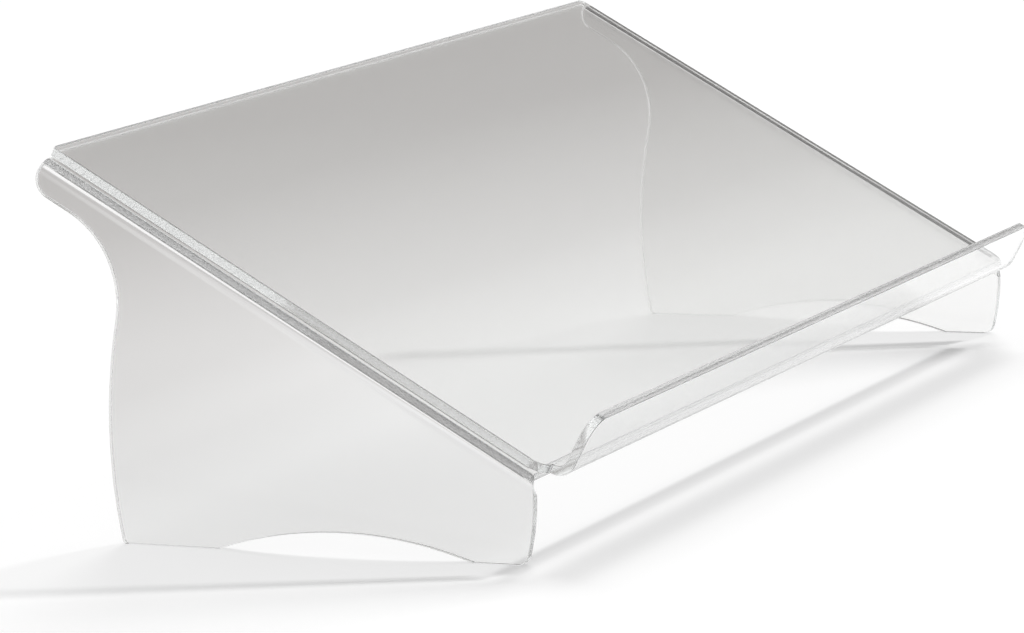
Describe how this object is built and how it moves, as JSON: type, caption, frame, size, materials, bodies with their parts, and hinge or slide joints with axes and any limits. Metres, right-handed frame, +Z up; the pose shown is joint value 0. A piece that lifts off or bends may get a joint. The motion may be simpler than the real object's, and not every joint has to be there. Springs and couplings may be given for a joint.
{
  "type": "document holder",
  "caption": "Clear acrylic in-line document holder: a sloped base sheet bent into shaped side legs, with a document plate and front ledge that pulls forward down the slope",
  "frame": {"origin": "On the desk, under the middle of the whole holder", "axes": "+X runs along the width to the user's right, the front ledge is towards -Y, +Z is up"},
  "size_m": [0.515, 0.2424, 0.164],
  "materials": {
    "clear_sheet": "clear cast acrylic with polished edges",
    "grip": "thin dark grey adhesive foam tape"
  },
  "bodies": {
    "base": {"bent_base": "clear_sheet", "left_grip_strip": "grip", "right_grip_strip": "grip"},
    "plate": {"document_plate": "clear_sheet"}
  },
  "joints": [
    {"name": "plate_slide", "type": "slide", "parent": "base", "child": "plate", "axis": [0, -0.866, -0.5], "range_m": [0, 0.06]}
  ]
}
